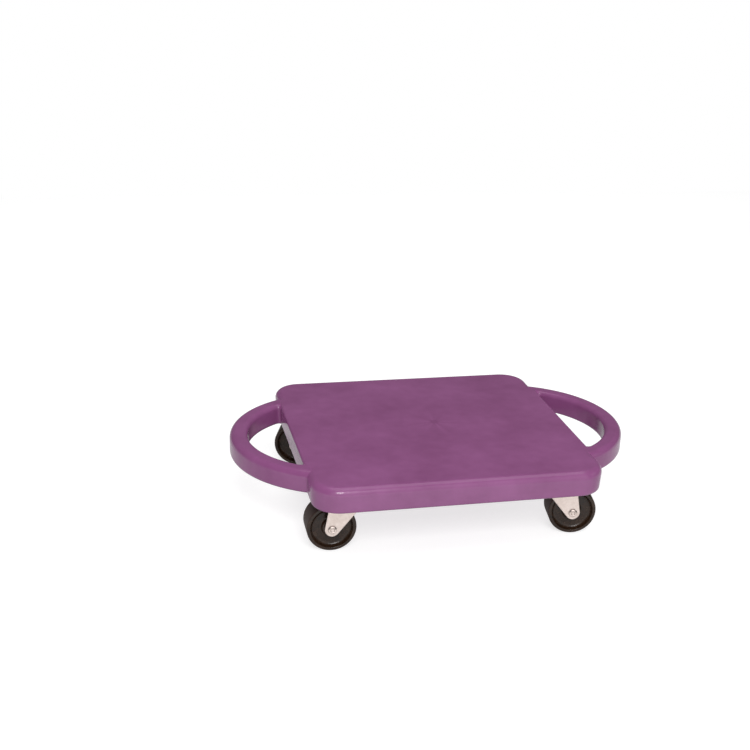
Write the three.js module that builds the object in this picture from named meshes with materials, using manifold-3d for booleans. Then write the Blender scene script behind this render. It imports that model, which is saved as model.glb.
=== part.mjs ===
// A children's scooter board: a moulded square deck with a loop handle on either side, carried by four
// swivel casters. Millimetres, +Z up. The origin is on the floor under the middle of the deck, and +X runs
// from handle to handle.

import * as THREE from 'three'
import { mergeVertices } from 'three/addons/utils/BufferGeometryUtils.js'
import Module from 'manifold-3d'

const wasm = await Module()
wasm.setup()

// Deck

const deckWidth = 304.8
const deckDepth = 304.8
const deckThickness = 27.05
const deckCornerRadius = 29
const deckTopFillet = 8
const deckHoldFillet = 2.5
const deckBottomFillet = 3.5
const deckSideDraft = 0.9
const deckWall = 4
const deckSkin = 4

// Handle loops, each one an arc of a ring that is let into the side of the deck and cored from below

const handleOuterRadius = 117.4
const handleReach = 65.1
const handleBarWidth = 19
const handleBarHeight = 23.6
const handleTopDrop = 0.3
const handleTopRadius = 2.5
const handleBottomRadius = 4
const handleWall = 3.8
const handleRibs = 6
const handleRibAngle = 17

// Ribs, caster pads and wells under the deck

const wellDepth = 8
const ribThickness = 2.5
const ribRecess = 3
const padMargin = 3

// Casters

const swivelInsetAcross = 42.4
const swivelInsetAlong = 46.4
const wheelRadius = 25.4
const wheelWidth = 28.6
const wheelTopGap = 0.79
const wheelEdgeRadius = 1.8
const wheelLipWidth = 1.8
const wheelDishDepth = 5
const wheelDishRun = 4
const wheelHubRun = 1.5
const hubRadius = 9.5
const hubSetBack = 1
const trail = 19

// Top plate

const plateWidth = 48
const plateLength = 64
const plateThickness = 2.3
const plateCornerRadius = 5
const screwSpacingAcross = 36
const screwSpacingAlong = 52

// Ball race

const ballDiameter = 4.76
const ballCount = 16
const racePitchRadius = 11.5
const raceDepth = 0.9

// Fork

const forkSheet = 2
const forkBend = 2.5
const forkNose = 17.6
const forkNoseCornerRadius = 11
const forkScallop = 5
const forkScallopMargin = 2
const forkRaceMargin = 1.6
const wheelSideGap = 1.5
const legTipRadius = 7.5
const legLean = 10

// Kingpin, axle and screws

const kingpinRadius = 4
const kingpinSeatRadius = 6
const kingpinSeatDepth = 1.8
const kingpinHeadRadius = 6.5
const kingpinHeadHeight = 2.2
const kingpinHeadChamfer = 0.8
const washerRadius = 9.5
const washerThickness = 1.5
const axleRadius = 3.2
const axleHeadRadius = 4.4
const axleHeadHeight = 1.8
const axleHeadChamfer = 0.5
const sleeveWall = 1.2
const screwRadius = 2.2
const screwLength = 16
const screwPoint = 3
const screwHeadRadius = 4.2
const screwHeadHeight = 2.2
const screwHeadChamfer = 0.9

// Clearances

const runningGap = 0.3
const fixedGap = 0.15
const ballGap = 0.25
const overrun = 5

// How each caster stands at rest: the angle, in degrees from +X, that its fork trails to

const frontLeftAngle = 178.6
const frontRightAngle = -9.2
const rearLeftAngle = 162.3
const rearRightAngle = 35

// How finely the round forms are drawn

const cornerSteps = 4
const filletSteps = 4
const smallSteps = 3
const bendSteps = 2
const handleSteps = 40
const wheelSteps = 24
const raceSteps = 16
const trackSteps = 8
const pinSteps = 10
const screwSteps = 6
const ballSteps = 5
const ballRows = 3

// Heights and places that follow from the sizes above

const raceGap = ballDiameter + 2 * ballGap - 2 * raceDepth
const kingpinStack = kingpinHeadHeight + fixedGap + washerThickness + runningGap
const casterHeight = 2 * wheelRadius + wheelTopGap + kingpinStack + forkSheet + raceGap + plateThickness
const deckFoot = casterHeight - wellDepth
const deckTop = deckFoot + deckThickness
const handleCentreX = deckWidth / 2 + handleReach - handleOuterRadius
const handleTop = deckTop - handleTopDrop
const handleBottom = handleTop - handleBarHeight
const swivelX = deckWidth / 2 - swivelInsetAcross
const swivelY = deckDepth / 2 - swivelInsetAlong
const plateBottom = casterHeight - plateThickness
const ballCentre = plateBottom - raceGap / 2
const crownTop = plateBottom - raceGap
const crownBottom = crownTop - forkSheet
const forkInnerHalf = wheelWidth / 2 + wheelSideGap
const forkOuterHalf = forkInnerHalf + forkSheet
const crownLead = racePitchRadius + ballDiameter / 2 + forkRaceMargin
const legTrailingEdge = trail + legTipRadius
const legLeanAngle = THREE.MathUtils.degToRad(legLean)
const washerTop = crownBottom - runningGap
const washerBottom = washerTop - washerThickness
const sleeveRadius = axleRadius + fixedGap + sleeveWall

// Solids and meshes

function solidOf(geometry) {
  const bare = geometry.clone()
  bare.deleteAttribute('normal')
  bare.deleteAttribute('uv')
  const merged = mergeVertices(bare)
  const vertProperties = new Float32Array(merged.attributes.position.array)
  const triVerts = new Uint32Array(merged.index.array)
  return new wasm.Manifold(new wasm.Mesh({ numProp: 3, vertProperties, triVerts }))
}

function geometryOf(solid) {
  const mesh = solid.getMesh()
  const geometry = new THREE.BufferGeometry()
  geometry.setAttribute('position', new THREE.BufferAttribute(new Float32Array(mesh.vertProperties), 3))
  geometry.setIndex(new THREE.BufferAttribute(new Uint32Array(mesh.triVerts), 1))
  geometry.computeVertexNormals()
  return geometry
}

// A rounded rectangle about the origin, its corners drawn as arcs.
function roundedRectangle(width, depth, radius) {
  const x = width / 2 - radius
  const y = depth / 2 - radius
  const quarter = Math.PI / 2
  const shape = new THREE.Shape()
  shape.absarc(x, y, radius, 0, quarter)
  shape.absarc(-x, y, radius, quarter, 2 * quarter)
  shape.absarc(-x, -y, radius, 2 * quarter, 3 * quarter)
  shape.absarc(x, -y, radius, 3 * quarter, 4 * quarter)
  shape.closePath()
  return shape
}

// An upright prism of a shape drawn in X and Y.
function prism(shape, low, high, steps = cornerSteps) {
  const options = { depth: high - low, bevelEnabled: false, curveSegments: steps }
  const geometry = new THREE.ExtrudeGeometry(shape, options)
  geometry.translate(0, 0, low)
  return solidOf(geometry)
}

// A prism along X of a shape drawn in Y and Z.
function prismAlongX(shape, from, to, steps = bendSteps) {
  const options = { depth: to - from, bevelEnabled: false, curveSegments: steps }
  const geometry = new THREE.ExtrudeGeometry(shape, options)
  geometry.translate(0, 0, from)
  const yAxis = new THREE.Vector3(0, 1, 0)
  const zAxis = new THREE.Vector3(0, 0, 1)
  const xAxis = new THREE.Vector3(1, 0, 0)
  geometry.applyMatrix4(new THREE.Matrix4().makeBasis(yAxis, zAxis, xAxis))
  return solidOf(geometry)
}

// A prism along Y, centred on the XZ plane, of a shape drawn in X and Z.
function prismAcross(shape, width, steps = cornerSteps) {
  const options = { depth: width, bevelEnabled: false, curveSegments: steps }
  const geometry = new THREE.ExtrudeGeometry(shape, options)
  geometry.translate(0, 0, -width / 2)
  geometry.rotateX(Math.PI / 2)
  return solidOf(geometry)
}

function box(xLow, xHigh, yLow, yHigh, zLow, zHigh) {
  const geometry = new THREE.BoxGeometry(xHigh - xLow, yHigh - yLow, zHigh - zLow)
  geometry.translate((xLow + xHigh) / 2, (yLow + yHigh) / 2, (zLow + zHigh) / 2)
  return solidOf(geometry)
}

// A profile of [radius, height] pairs turned about the Z axis, its first edge towards +X.
function turned(profile, steps) {
  const points = profile.map(([radius, height]) => new THREE.Vector2(radius, height))
  const geometry = new THREE.LatheGeometry(points, steps)
  geometry.rotateX(Math.PI / 2)
  geometry.rotateZ(Math.PI / 2)
  return solidOf(geometry)
}

// A profile of [radius, place along the axle] pairs turned about the Y axis, with a flat of the round down.
function turnedOnAxle(profile, steps) {
  const points = profile.map(([radius, place]) => new THREE.Vector2(radius, place))
  const geometry = new THREE.LatheGeometry(points, steps)
  geometry.rotateY(Math.PI / steps)
  return solidOf(geometry)
}

function closed(profile) {
  return [...profile, profile[0]]
}

function arcPoints(x, y, radius, from, to, steps) {
  const curve = new THREE.ArcCurve(x, y, radius, from, to, to < from)
  return curve.getPoints(steps).map((point) => [point.x, point.y])
}

// Deck

// A solid through level outlines that all have the same number of points, each given with its height.
function loft(levels, steps) {
  const rings = levels.map(({ shape, height }) => {
    const points = shape.getPoints(steps)
    const last = points[points.length - 1]
    if (last.distanceTo(points[0]) < fixedGap) {
      points.pop()
    }
    return points.map((point) => new THREE.Vector3(point.x, point.y, height))
  })
  const count = rings[0].length
  const positions = rings.flat().flatMap((point) => point.toArray())
  const cap = THREE.ShapeUtils.triangulateShape(rings[0], [])
  const topStart = (rings.length - 1) * count
  const indices = []
  for (const [a, b, c] of cap) {
    indices.push(a, c, b)
    indices.push(topStart + a, topStart + b, topStart + c)
  }
  for (let level = 0; level < rings.length - 1; level += 1) {
    for (let point = 0; point < count; point += 1) {
      const next = (point + 1) % count
      const low = level * count
      const high = low + count
      indices.push(low + point, low + next, high + next)
      indices.push(low + point, high + next, high + point)
    }
  }
  const geometry = new THREE.BufferGeometry()
  geometry.setAttribute('position', new THREE.Float32BufferAttribute(positions, 3))
  geometry.setIndex(indices)
  return solidOf(geometry)
}

function deckOutline(inset) {
  return roundedRectangle(deckWidth - 2 * inset, deckDepth - 2 * inset, deckCornerRadius - inset)
}

// The slab: a small fillet round its foot, sides that lean out a little, and a large fillet round its top.
function deckSlab() {
  const levels = []
  for (let step = 0; step <= smallSteps; step += 1) {
    const angle = (step / smallSteps) * (Math.PI / 2)
    const inset = deckSideDraft + deckBottomFillet * (1 - Math.sin(angle))
    const height = deckFoot + deckBottomFillet * (1 - Math.cos(angle))
    levels.push({ shape: deckOutline(inset), height })
  }
  for (let step = 0; step <= filletSteps; step += 1) {
    const angle = (step / filletSteps) * (Math.PI / 2)
    const inset = deckTopFillet * (1 - Math.cos(angle))
    const height = deckTop - deckTopFillet * (1 - Math.sin(angle))
    levels.push({ shape: deckOutline(inset), height })
  }
  return loft(levels, cornerSteps)
}

// Where the fingers reach in, between the two ends of a handle, the deck's upper edge has only a small fillet.
// This strip fills the large fillet there.
function deckHold(side) {
  const outer = deckWidth / 2
  const inner = outer - deckTopFillet - deckWall
  const low = deckTop - deckTopFillet
  const radius = deckHoldFillet
  const barMiddle = handleOuterRadius - handleBarWidth / 2
  const end = Math.sqrt(barMiddle ** 2 - (outer - handleCentreX) ** 2)
  const section = new THREE.Shape()
  section.moveTo(inner, low)
  section.lineTo(outer, low)
  section.absarc(outer - radius, deckTop - radius, radius, 0, Math.PI / 2)
  section.lineTo(inner, deckTop)
  section.closePath()
  const strip = prismAcross(section, 2 * end, bendSteps)
  return side > 0 ? strip : strip.rotate(0, 0, 180)
}

// A handle lies on a ring about an upright axis inside the deck. This keeps what stands out of the side.
function outsideDeck(side, from, ring) {
  const tip = deckWidth / 2 + handleReach + overrun
  const reach = side > 0 ? [from, tip] : [-tip, -from]
  const keep = box(...reach, -handleOuterRadius, handleOuterRadius, handleBottom - overrun, deckTop)
  return ring.translate(side * handleCentreX, 0, 0).intersect(keep)
}

// The bar has a flat top, upright sides and rounded corners.
function handleBar(side) {
  const outer = handleOuterRadius
  const inner = handleOuterRadius - handleBarWidth
  const upper = handleTopRadius
  const lower = handleBottomRadius
  const quarter = Math.PI / 2
  const profile = [
    ...arcPoints(outer - upper, handleTop - upper, upper, 0, quarter, bendSteps),
    ...arcPoints(inner + upper, handleTop - upper, upper, quarter, 2 * quarter, bendSteps),
    ...arcPoints(inner + lower, handleBottom + lower, lower, 2 * quarter, 3 * quarter, bendSteps),
    ...arcPoints(outer - lower, handleBottom + lower, lower, 3 * quarter, 4 * quarter, bendSteps)
  ]
  return outsideDeck(side, deckWidth / 2 - deckTopFillet, turned(closed(profile), handleSteps))
}

// The core is a channel up into the bar from below, crossed by ribs that stand square to it.
function handleCore(side) {
  const outer = handleOuterRadius - handleWall
  const inner = handleOuterRadius - handleBarWidth + handleWall
  const low = handleBottom - overrun
  const high = handleTop - handleWall
  let ring = turned(closed([[inner, low], [outer, low], [outer, high], [inner, high]]), handleSteps)
  const half = ribThickness / 2
  const rib = box(0, handleOuterRadius, -half, half, handleBottom, handleTop)
  for (let index = 0; index < handleRibs; index += 1) {
    const angle = (index - (handleRibs - 1) / 2) * handleRibAngle
    ring = ring.subtract(rib.rotate(0, 0, side > 0 ? angle : 180 - angle))
  }
  return outsideDeck(side, deckWidth / 2, ring)
}

const padHalfAcross = plateWidth / 2 + padMargin
const padHalfAlong = plateLength / 2 + padMargin
const padInner = swivelX - padHalfAcross
const padNear = swivelY - padHalfAlong
const hollowHalfAcross = deckWidth / 2 - deckWall - deckSideDraft
const hollowHalfAlong = deckDepth / 2 - deckWall - deckSideDraft

// The lines that ribs stand on, for one half of the deck and mirrored to the other.
const ribLinesAcross = [0, padInner]
const ribLinesAlong = [0, padNear]

function mirrored(lines) {
  return [...new Set(lines.flatMap((line) => [line, -line]))]
}

// The hollow under the deck is open below and divided by a grid of ribs. In the corners it is only a shallow
// well for the caster, under a solid pad that the caster's plate is screwed to.
function deckHollow() {
  const outline = roundedRectangle(2 * hollowHalfAcross, 2 * hollowHalfAlong, deckCornerRadius - deckWall)
  const inner = prism(outline, deckFoot - overrun, deckTop - deckSkin)
  const ribFoot = deckFoot + ribRecess
  const half = ribThickness / 2
  let hollow = inner
  for (const x of mirrored(ribLinesAcross)) {
    hollow = hollow.subtract(box(x - half, x + half, -deckDepth / 2, deckDepth / 2, ribFoot, deckTop))
  }
  for (const y of mirrored(ribLinesAlong)) {
    hollow = hollow.subtract(box(-deckWidth / 2, deckWidth / 2, y - half, y + half, ribFoot, deckTop))
  }
  for (const [x, y] of Object.values(swivelPlaces)) {
    const across = (near) => (x > 0 ? [near, deckWidth / 2] : [-deckWidth / 2, -near])
    const along = (near) => (y > 0 ? [near, deckDepth / 2] : [-deckDepth / 2, -near])
    const pad = box(...across(padInner), ...along(padNear), casterHeight, deckTop)
    const well = box(...across(padInner + half), ...along(padNear + half), deckFoot - overrun, casterHeight)
    hollow = hollow.subtract(pad).add(well.intersect(inner))
  }
  return hollow
}

const swivelPlaces = {
  front_left: [-swivelX, -swivelY],
  front_right: [swivelX, -swivelY],
  rear_left: [-swivelX, swivelY],
  rear_right: [swivelX, swivelY]
}

const screwPlaces = [
  [-screwSpacingAcross / 2, -screwSpacingAlong / 2],
  [screwSpacingAcross / 2, -screwSpacingAlong / 2],
  [screwSpacingAcross / 2, screwSpacingAlong / 2],
  [-screwSpacingAcross / 2, screwSpacingAlong / 2]
]

function pilotHole() {
  const depth = screwLength - plateThickness + fixedGap
  const radius = screwRadius + fixedGap
  const shaft = casterHeight + depth
  const profile = [
    [0, casterHeight - overrun],
    [radius, casterHeight - overrun],
    [radius, shaft - screwPoint],
    [0, shaft]
  ]
  return turned(profile, screwSteps)
}

function deckSolid() {
  let deck = deckSlab().add(deckHold(1)).add(deckHold(-1)).add(handleBar(1)).add(handleBar(-1))
  deck = deck.subtract(deckHollow())
  deck = deck.subtract(handleCore(1)).subtract(handleCore(-1))
  const hole = pilotHole()
  for (const [x, y] of Object.values(swivelPlaces)) {
    for (const [screwX, screwY] of screwPlaces) {
      deck = deck.subtract(hole.translate(x + screwX, y + screwY, 0))
    }
  }
  return deck
}

// Caster pieces. Each is drawn about its own swivel axis, trailing to +X

// The track that the balls run in, as the ring that is cut away from the plate and from the fork's crown.
function raceCut() {
  const radius = ballDiameter / 2 + ballGap
  const circle = arcPoints(racePitchRadius, ballCentre, radius, 0, 2 * Math.PI, trackSteps)
  return turned(circle, raceSteps)
}

// The top plate is of steel, with four screw holes, a countersunk seat for the kingpin and a ball track.
function topPlateSolid() {
  const outline = roundedRectangle(plateWidth, plateLength, plateCornerRadius)
  for (const [x, y] of screwPlaces) {
    const hole = new THREE.Path()
    hole.absarc(x, y, screwRadius + fixedGap, 0, 2 * Math.PI)
    outline.holes.push(hole)
  }
  const seat = [
    [0, plateBottom - overrun],
    [kingpinRadius + fixedGap, plateBottom - overrun],
    [kingpinRadius + fixedGap, casterHeight - kingpinSeatDepth],
    [kingpinSeatRadius + fixedGap, casterHeight],
    [kingpinSeatRadius + fixedGap, casterHeight + overrun],
    [0, casterHeight + overrun]
  ]
  return prism(outline, plateBottom, casterHeight, screwSteps / 2)
    .subtract(turned(seat, pinSteps))
    .subtract(raceCut())
}

// The balls fill the race, so each one meets the next and the set is one string.
function ballRingSolid() {
  const ball = new THREE.SphereGeometry(ballDiameter / 2, ballSteps, ballRows)
  ball.translate(racePitchRadius, 0, ballCentre)
  let ring = null
  for (let index = 0; index < ballCount; index += 1) {
    const placed = ball.clone()
    placed.rotateZ((index * 2 * Math.PI) / ballCount)
    ring = ring ? ring.add(solidOf(placed)) : solidOf(placed)
  }
  return ring
}

// The fork is bent from one sheet: a crown over the wheel and a leg down either side.
function forkChannel() {
  const outer = forkOuterHalf
  const inner = forkInnerHalf
  const outerBend = forkBend + forkSheet
  const legFoot = wheelRadius - legTipRadius - overrun
  const quarter = Math.PI / 2
  const section = new THREE.Shape()
  section.moveTo(outer, legFoot)
  section.absarc(outer - outerBend, crownTop - outerBend, outerBend, 0, quarter)
  section.absarc(-outer + outerBend, crownTop - outerBend, outerBend, quarter, 2 * quarter)
  section.lineTo(-outer, legFoot)
  section.lineTo(-inner, legFoot)
  section.absarc(-inner + forkBend, crownBottom - forkBend, forkBend, 2 * quarter, quarter, true)
  section.absarc(inner - forkBend, crownBottom - forkBend, forkBend, quarter, 0, true)
  section.lineTo(inner, legFoot)
  section.closePath()
  return prismAlongX(section, -forkNose - overrun, legTrailingEdge + overrun)
}

// Where the leg's rear edge stands at a given height. It leans forward a little.
function legRearEdge(height) {
  const rise = height - wheelRadius - legTipRadius * Math.sin(legLeanAngle)
  return trail + legTipRadius * Math.cos(legLeanAngle) - rise * Math.tan(legLeanAngle)
}

// Seen from the side a leg is round at the axle, and its front edge slants up to the front of the crown.
function forkSideOutline() {
  const across = trail + crownLead
  const up = crownBottom - wheelRadius
  const slant = Math.atan2(across, up) - Math.asin(legTipRadius / Math.hypot(across, up))
  const outline = new THREE.Shape()
  outline.moveTo(-forkNose - overrun, crownTop + overrun)
  outline.lineTo(-forkNose - overrun, crownBottom)
  outline.lineTo(-crownLead, crownBottom)
  outline.absarc(trail, wheelRadius, legTipRadius, Math.PI + slant, 2 * Math.PI + legLeanAngle)
  outline.lineTo(legRearEdge(crownTop + overrun), crownTop + overrun)
  outline.closePath()
  return outline
}

function forkSolid() {
  const low = wheelRadius - legTipRadius - overrun
  const high = crownTop + overrun
  const blankLength = forkNose + legTrailingEdge + overrun + forkNoseCornerRadius
  const blankOutline = roundedRectangle(blankLength, 2 * (forkOuterHalf + fixedGap), forkNoseCornerRadius)
  const blank = prism(blankOutline, low, high, bendSteps).translate(blankLength / 2 - forkNose, 0, 0)
  const scallopRadius = forkInnerHalf - forkScallopMargin
  const scallop = turned([[0, low], [scallopRadius, low], [scallopRadius, high], [0, high]], raceSteps)
  const scallopPlace = legRearEdge(crownTop) - forkScallop + scallopRadius
  const axleHole = turnedOnAxle(
    [
      [0, -forkOuterHalf - overrun],
      [axleRadius + fixedGap, -forkOuterHalf - overrun],
      [axleRadius + fixedGap, forkOuterHalf + overrun],
      [0, forkOuterHalf + overrun]
    ],
    pinSteps
  )
  const pinHole = turned(
    [[0, low], [kingpinRadius + runningGap, low], [kingpinRadius + runningGap, high], [0, high]],
    pinSteps
  )
  return forkChannel()
    .intersect(prismAcross(forkSideOutline(), 2 * (forkOuterHalf + overrun)))
    .intersect(blank)
    .subtract(scallop.translate(scallopPlace, 0, 0))
    .subtract(axleHole.translate(trail, 0, wheelRadius))
    .subtract(pinHole)
    .subtract(raceCut())
}

// The kingpin is a rivet: flush in the plate above, spread over the washer below.
function kingpinSolid() {
  const headTop = washerBottom - fixedGap
  const headBottom = headTop - kingpinHeadHeight
  const profile = [
    [0, headBottom],
    [kingpinHeadRadius - kingpinHeadChamfer, headBottom],
    [kingpinHeadRadius, headBottom + kingpinHeadChamfer],
    [kingpinHeadRadius, headTop],
    [kingpinRadius, headTop],
    [kingpinRadius, casterHeight - kingpinSeatDepth],
    [kingpinSeatRadius - fixedGap, casterHeight - fixedGap],
    [0, casterHeight - fixedGap]
  ]
  return turned(profile, pinSteps)
}

function washerSolid() {
  const bore = kingpinRadius + fixedGap
  const profile = [
    [bore, washerBottom],
    [washerRadius, washerBottom],
    [washerRadius, washerTop],
    [bore, washerTop]
  ]
  return turned(closed(profile), pinSteps)
}

// The wheel is turned about its axle: a tread, a raised lip, a dished side and a hub with a bore.
function wheelSolid() {
  const bore = sleeveRadius + runningGap
  const tread = wheelRadius / Math.cos(Math.PI / wheelSteps)
  const half = wheelWidth / 2
  const dish = half - wheelDishDepth
  const lipInner = tread - wheelEdgeRadius - wheelLipWidth
  const side = [
    [bore, half - hubSetBack],
    [hubRadius, half - hubSetBack],
    [hubRadius + wheelHubRun, dish],
    [lipInner - wheelDishRun, dish],
    [lipInner, half],
    [tread - wheelEdgeRadius, half],
    [tread, half - wheelEdgeRadius]
  ]
  const farSide = side.map(([radius, place]) => [radius, -place])
  return turnedOnAxle(closed([...farSide, ...side.reverse()]), wheelSteps)
}

// The axle is a tube between the legs, which the wheel turns on, and a rivet through both legs and the tube.
function sleeveSolid() {
  const half = forkInnerHalf - fixedGap
  const bore = axleRadius + fixedGap
  const profile = [
    [bore, -half],
    [sleeveRadius, -half],
    [sleeveRadius, half],
    [bore, half]
  ]
  return turnedOnAxle(closed(profile), pinSteps)
}

function axleRivetSolid() {
  const seat = forkOuterHalf + fixedGap
  const face = seat + axleHeadHeight
  const half = [
    [axleRadius, seat],
    [axleHeadRadius, seat],
    [axleHeadRadius, face - axleHeadChamfer],
    [axleHeadRadius - axleHeadChamfer, face],
    [0, face]
  ]
  const farHalf = half.map(([radius, place]) => [radius, -place])
  return turnedOnAxle([...farHalf.reverse(), ...half], pinSteps)
}

function screwSolid() {
  const headBottom = plateBottom - screwHeadHeight
  const tip = plateBottom + screwLength
  const profile = [
    [0, headBottom],
    [screwHeadRadius - screwHeadChamfer, headBottom],
    [screwHeadRadius, headBottom + screwHeadChamfer],
    [screwHeadRadius, plateBottom],
    [screwRadius, plateBottom],
    [screwRadius, tip - screwPoint],
    [0, tip]
  ]
  return turned(profile, screwSteps)
}

// Materials

const finishes = {
  plastic: { color: 0x89527c, roughness: 0.38, metalness: 0 },
  zinc: { color: 0xded2cd, roughness: 0.35, metalness: 1 },
  bearing: { color: 0xc9c9cc, roughness: 0.2, metalness: 1 },
  rubber: { color: 0x2b2522, roughness: 0.5, metalness: 0 }
}

function meshOf(name, geometry, finish) {
  const mesh = new THREE.Mesh(geometry, new THREE.MeshStandardMaterial(finishes[finish]))
  mesh.name = name
  return mesh
}

// Assembly

const board = new THREE.Group()
board.add(meshOf('deck', geometryOf(deckSolid()), 'plastic'))

const fixedPieces = {
  top_plate: [geometryOf(topPlateSolid()), 'zinc'],
  thrust_washer: [geometryOf(washerSolid()), 'zinc'],
  kingpin: [geometryOf(kingpinSolid()), 'zinc']
}
const turningPieces = {
  ball_ring: [geometryOf(ballRingSolid()), 'bearing'],
  fork: [geometryOf(forkSolid()), 'zinc']
}
const axlePieces = {
  axle_sleeve: [geometryOf(sleeveSolid()), 'zinc'],
  axle_rivet: [geometryOf(axleRivetSolid()), 'zinc'],
  wheel: [geometryOf(wheelSolid()), 'rubber']
}
const screw = geometryOf(screwSolid())

const restAngles = {
  front_left: frontLeftAngle,
  front_right: frontRightAngle,
  rear_left: rearLeftAngle,
  rear_right: rearRightAngle
}

function casterAt(corner, [x, y]) {
  const caster = new THREE.Group()
  caster.position.set(x, y, 0)
  for (const [piece, [geometry, finish]] of Object.entries(fixedPieces)) {
    caster.add(meshOf(`${corner}_${piece}`, geometry, finish))
  }
  screwPlaces.forEach(([screwX, screwY], index) => {
    const mesh = meshOf(`${corner}_screw_${index + 1}`, screw, 'zinc')
    mesh.position.set(screwX, screwY, 0)
    caster.add(mesh)
  })
  const swivel = new THREE.Group()
  swivel.rotation.z = THREE.MathUtils.degToRad(restAngles[corner])
  for (const [piece, [geometry, finish]] of Object.entries(turningPieces)) {
    swivel.add(meshOf(`${corner}_${piece}`, geometry, finish))
  }
  const axle = new THREE.Group()
  axle.position.set(trail, 0, wheelRadius)
  for (const [piece, [geometry, finish]] of Object.entries(axlePieces)) {
    axle.add(meshOf(`${corner}_${piece}`, geometry, finish))
  }
  swivel.add(axle)
  caster.add(swivel)
  return caster
}

for (const [corner, place] of Object.entries(swivelPlaces)) {
  board.add(casterAt(corner, place))
}

export default board
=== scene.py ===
# %% [markdown]
# # A children's scooter board
#
# A square deck moulded in one shot of plum coloured plastic, with a loop handle at either side and four
# swivel casters screwed up into its corners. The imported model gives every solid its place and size. The
# cells below dress it: each visible piece is worked out as a smooth surface in numpy and given a finish.
# Lengths are written in millimetres, as on the drawing, and become metres when a mesh is made.

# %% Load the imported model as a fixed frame
import math

import bpy
import numpy as np
from mathutils import Matrix, Vector


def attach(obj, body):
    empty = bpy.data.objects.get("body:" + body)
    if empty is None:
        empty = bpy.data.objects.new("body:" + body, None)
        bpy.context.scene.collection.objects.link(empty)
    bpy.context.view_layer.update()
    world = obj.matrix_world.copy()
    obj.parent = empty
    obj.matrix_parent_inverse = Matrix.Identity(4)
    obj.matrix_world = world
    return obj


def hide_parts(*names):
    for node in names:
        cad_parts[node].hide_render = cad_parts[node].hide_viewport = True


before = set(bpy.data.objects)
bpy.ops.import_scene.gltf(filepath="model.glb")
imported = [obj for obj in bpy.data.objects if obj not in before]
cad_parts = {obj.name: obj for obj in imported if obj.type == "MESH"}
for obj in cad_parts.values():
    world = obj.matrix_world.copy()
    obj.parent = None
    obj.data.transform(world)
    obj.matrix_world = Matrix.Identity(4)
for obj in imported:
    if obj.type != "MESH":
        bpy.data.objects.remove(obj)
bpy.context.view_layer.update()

# %% [markdown]
# ## Skins
#
# A piece is a closed skin. The easiest closed skin is a stack of rings: every ring has the same number of
# points, so neighbouring points make four-sided faces, and the first and last rings are closed by one flat
# face each. Where a profile goes round and meets itself, as on a washer, no flat faces are needed. Working
# on whole arrays keeps this quick, and the sum of the volumes under all faces tells which way they point.

# %% Rings to closed skins
MM = 0.001


def grid_faces(rows, columns, rows_meet=False, columns_meet=True):
    """The four corner numbers of each face of a grid: a point, the next along the row, and the same two
    one row up."""
    row = np.arange(rows if rows_meet else rows - 1)[:, None]
    column = np.arange(columns if columns_meet else columns - 1)[None, :]
    here, beside = row * columns + column, row * columns + (column + 1) % columns
    above = ((row + 1) % rows - row) * columns
    return np.stack([here, beside, beside + above, here + above], -1).reshape(-1, 4)


def turned_outwards(points, faces):
    """Faces whose order gives a positive volume: a sixth of a.(b x c), summed over each face's fan."""
    fans = np.array([(f[0], f[i], f[i + 1]) for f in faces for i in range(1, len(f) - 1)])
    a, b, c = points[fans[:, 0]], points[fans[:, 1]], points[fans[:, 2]]
    volume = np.einsum("ij,ij->", a, np.cross(b, c)) / 6
    return faces if volume > 0 else [face[::-1] for face in faces]


def stacked(rings):
    """A closed skin from an array of rings x points x 3, with a flat face on the first and last ring."""
    count, around = rings.shape[:2]
    points = rings.reshape(-1, 3)
    faces = grid_faces(count, around).tolist()
    faces.append(list(range(around))[::-1])
    faces.append(list(range((count - 1) * around, count * around)))
    return points, turned_outwards(points, faces)


def looped(rings):
    """A closed skin from rings whose last ring meets the first, as round a tyre."""
    points = rings.reshape(-1, 3)
    faces = grid_faces(*rings.shape[:2], rows_meet=True).tolist()
    return points, turned_outwards(points, faces)


def moved(skin, matrix):
    """The skin's points, each multiplied by a 4 x 4 matrix."""
    points, faces = skin
    matrix = np.array(matrix)
    return points @ matrix[:3, :3].T + matrix[:3, 3], faces


# %% Skins to pieces
made = []


def make_piece(name, skins, finish, body, stands_for, sharp=38):
    """One mesh from several skins: point numbers are shifted by the points before them."""
    starts = np.cumsum([0] + [len(points) for points, _ in skins])
    points = np.concatenate([points for points, _ in skins]) * MM
    faces = [[corner + start for corner in face]
             for (_, some), start in zip(skins, starts) for face in some]
    mesh = bpy.data.meshes.new(name)
    mesh.from_pydata(points.tolist(), [], faces)
    mesh.polygons.foreach_set("use_smooth", np.ones(len(mesh.polygons), bool))
    mesh.set_sharp_from_angle(angle=math.radians(sharp))
    mesh.materials.append(finish)
    piece = bpy.data.objects.new(name, mesh)
    bpy.context.scene.collection.objects.link(piece)
    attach(piece, body)
    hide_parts(*stands_for)
    made.append(name)
    return piece


# %% [markdown]
# ## Rounded outlines and turned profiles
#
# Most pieces here are one of two things. A moulded or stamped piece has a rounded outline and an edge
# profile that is carried round it: a profile point is an inset from the outline and a height. A turned
# piece has a profile of radius and height that is carried round an axis.

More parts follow.
